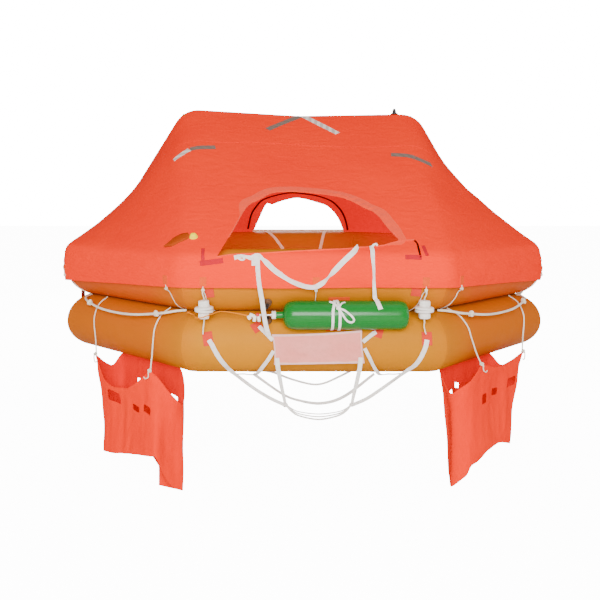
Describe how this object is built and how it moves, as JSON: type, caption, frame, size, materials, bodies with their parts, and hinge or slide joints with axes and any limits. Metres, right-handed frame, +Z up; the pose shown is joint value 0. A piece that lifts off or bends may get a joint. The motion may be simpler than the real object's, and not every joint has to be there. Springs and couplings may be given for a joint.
{
  "type": "life raft",
  "caption": "Inflatable orange life raft with two stacked buoyancy tubes, an arched canopy, an entrance with a hanging step and four ballast pockets.",
  "frame": {"origin": "middle of the raft in plan, on its waterline when it floats empty", "axes": "+X to the right seen from the entrance, -Y out of the entrance, +Z up"},
  "size_m": [2.2392, 2.2889, 1.6605],
  "materials": {
    "upper_tube": "satin",
    "lower_tube": "satin",
    "floor": "satin",
    "arch": "satin",
    "canopy": "matte",
    "cylinder_paint": "satin",
    "valve_plastic": "satin",
    "white_plastic": "satin",
    "webbing": "matte",
    "cord": "matte",
    "fitting_rubber": "satin",
    "hose_rubber": "satin",
    "patch": "matte",
    "lamp_plastic": "gloss",
    "dark_plastic": "matte",
    "step_cloth": "matte",
    "pocket_cloth": "matte"
  },
  "bodies": {
    "raft": {"arch_tube": "arch", "canopy_back": "canopy", "canopy_front": "canopy", "canopy_lamp": "lamp_plastic", "canopy_left": "canopy", "canopy_right": "canopy", "cylinder_tie": "webbing", "cylinder_valve": "valve_plastic", "entrance_hem": "canopy", "entrance_strap_left": "webbing", "entrance_strap_right": "webbing", "entrance_strap_sill": "webbing", "floor_sheet": "floor", "gas_cylinder": "cylinder_paint", "grab_line_front_left": "cord", "grab_line_front_right": "cord", "grab_line_left": "cord", "grab_line_rear": "cord", "grab_line_rear_left": "cord", "grab_line_rear_right": "cord", "grab_line_right": "cord", "hull_strap": "webbing", "inflation_hose_lower": "hose_rubber", "inflation_hose_upper": "hose_rubber", "inlet_valve_lower": "fitting_rubber", "inlet_valve_upper": "fitting_rubber", "ladder_patch_left": "patch", "ladder_patch_right": "patch", "lower_tube": "lower_tube", "painter_anchor": "patch", "pocket_cord_front_left_far": "cord", "pocket_cord_front_left_near": "cord", "pocket_cord_front_right_far": "cord", "pocket_cord_front_right_near": "cord", "pocket_cord_rear_left_far": "cord", "pocket_cord_rear_left_near": "cord", "pocket_cord_rear_right_far": "cord", "pocket_cord_rear_right_near": "cord", "pocket_front_left": "pocket_cloth", "pocket_front_right": "pocket_cloth", "pocket_rear_left": "pocket_cloth", "pocket_rear_right": "pocket_cloth", "port_hem": "canopy", "ridge_lamp": "dark_plastic", "step_hanger_left": "webbing", "step_hanger_right": "webbing", "strap_patch_left": "patch", "strap_patch_right": "patch", "toggle_left_lower": "white_plastic", "toggle_left_upper": "white_plastic", "toggle_right_lower": "white_plastic", "toggle_right_upper": "white_plastic", "upper_tube": "upper_tube"},
    "ladder": {"boarding_step": "step_cloth", "ladder_rung": "webbing"}
  },
  "joints": [
    {"name": "boarding_step_swing", "type": "hinge", "parent": "raft", "child": "ladder", "pos_m": [-0.158, -1.109, 0.119], "axis": [-0.9989, 0, -0.0476], "range_deg": [0, 80]}
  ]
}
